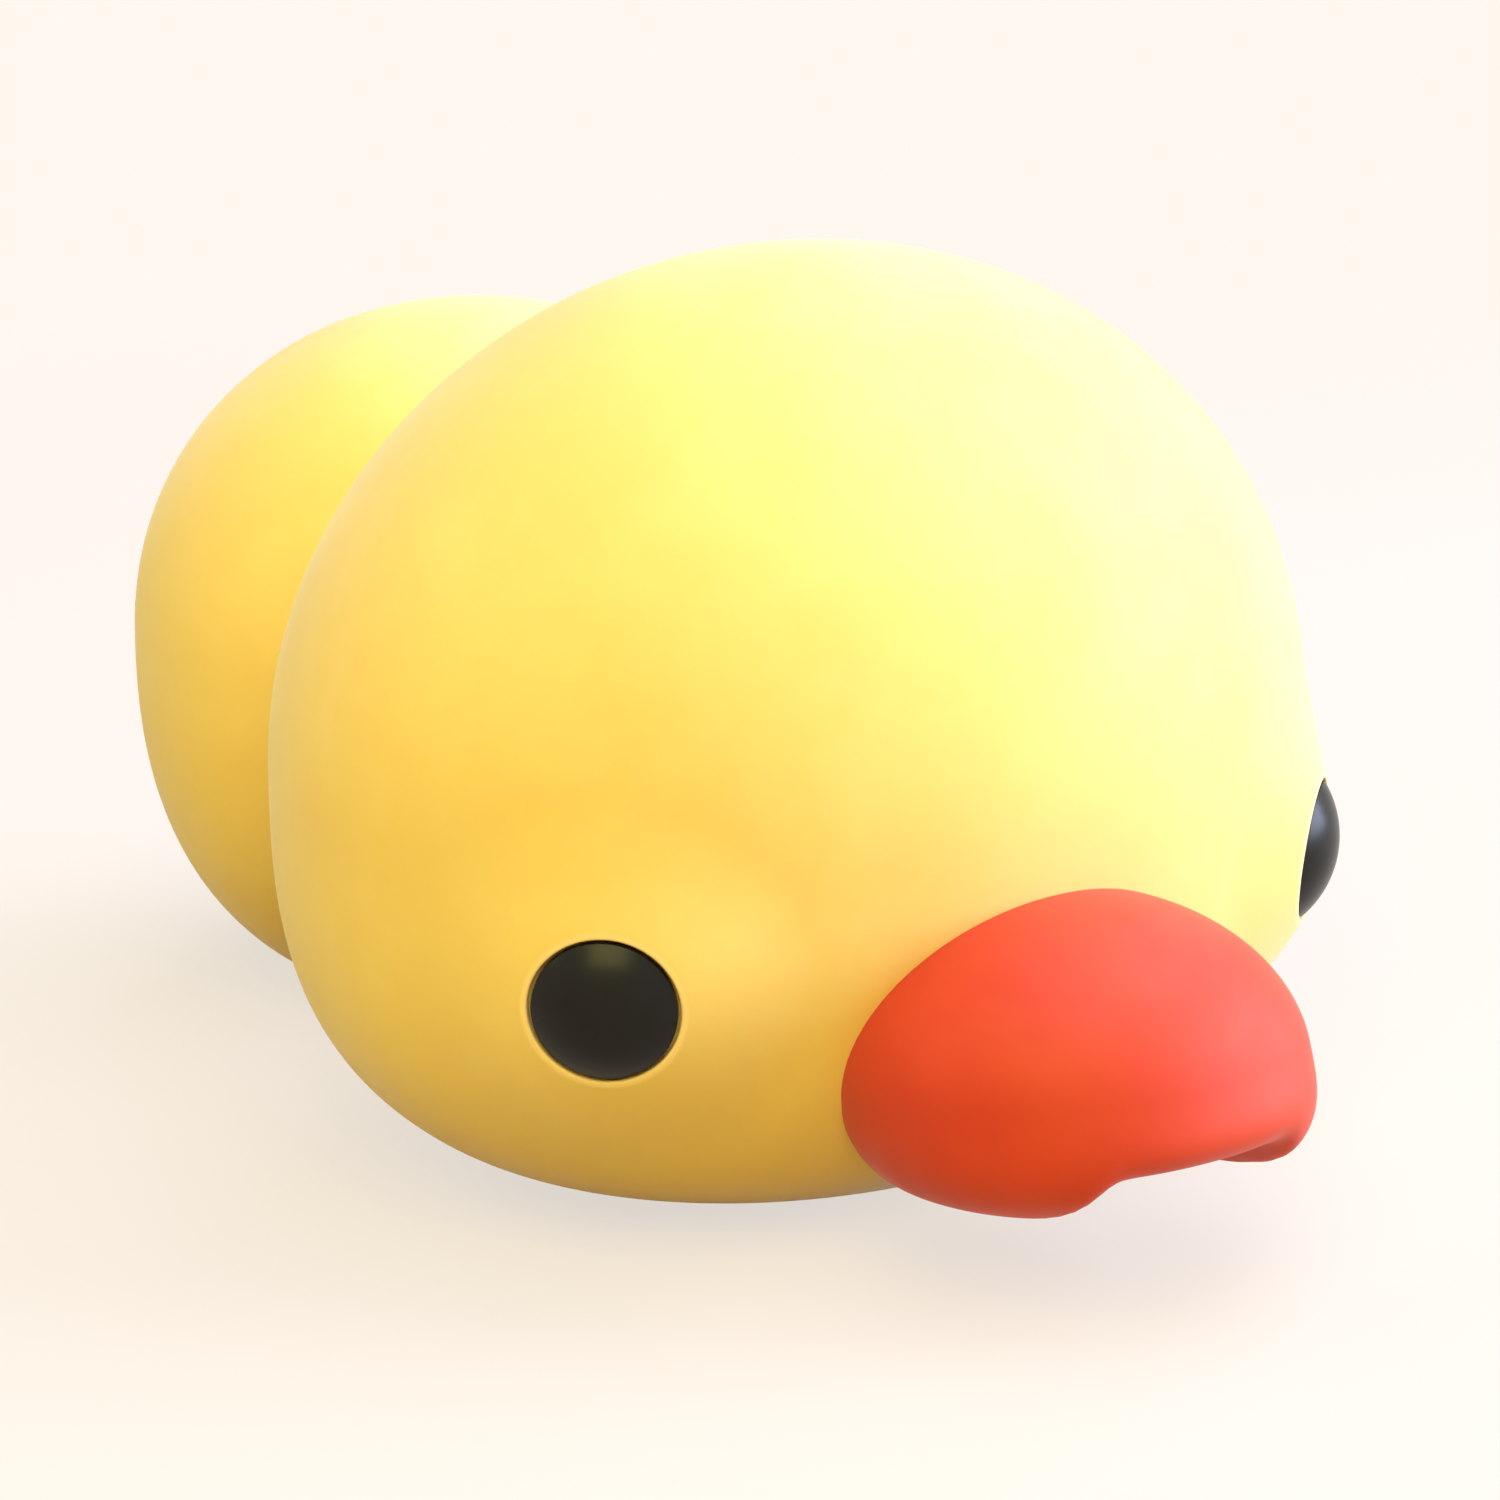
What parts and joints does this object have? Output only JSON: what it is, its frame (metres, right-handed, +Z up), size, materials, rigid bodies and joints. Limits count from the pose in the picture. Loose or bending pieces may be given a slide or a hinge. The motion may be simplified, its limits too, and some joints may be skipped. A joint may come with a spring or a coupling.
{
  "type": "duck dog toy",
  "caption": "Squeaky latex dog toy: a prone duck with a broad rounded head, a puffed bill, two domed eyes, fibre filling and a reed squeaker in the belly.",
  "frame": {"origin": "on the floor, at the middle of the toy's width and length", "axes": "-Y is where the bill points, +X is the duck's left, +Z is up from the floor"},
  "size_m": [0.092, 0.1412, 0.0763],
  "materials": {
    "yellow_latex": "matte natural latex with a fine powdery bloom",
    "orange_latex": "matte natural latex, painted or dipped red-orange",
    "eye_black": "smooth glossy black",
    "fibre": "loose white polyester fibre",
    "squeaker_white": "moulded, slightly translucent",
    "reed_strip": "thin clear strip"
  },
  "bodies": {
    "toy": {"head_skin": "yellow_latex", "body_skin": "yellow_latex", "bill_skin": "orange_latex", "right_eye": "eye_black", "left_eye": "eye_black", "head_stuffing": "fibre", "body_stuffing": "fibre", "bill_stuffing": "fibre", "squeaker_housing": "squeaker_white", "reed_carrier": "squeaker_white", "reed_wedge": "squeaker_white", "reed_tang": "reed_strip", "vent_cap": "squeaker_white"},
    "reed": {"reed_tongue": "reed_strip"}
  },
  "joints": [
    {"name": "reed_flex", "type": "hinge", "parent": "toy", "child": "reed", "pos_m": [0, 0.03595, 0.0147], "axis": [1, 0, 0], "range_deg": [-2.5, 4], "stiffness_Nm_per_rad": 0.009}
  ]
}
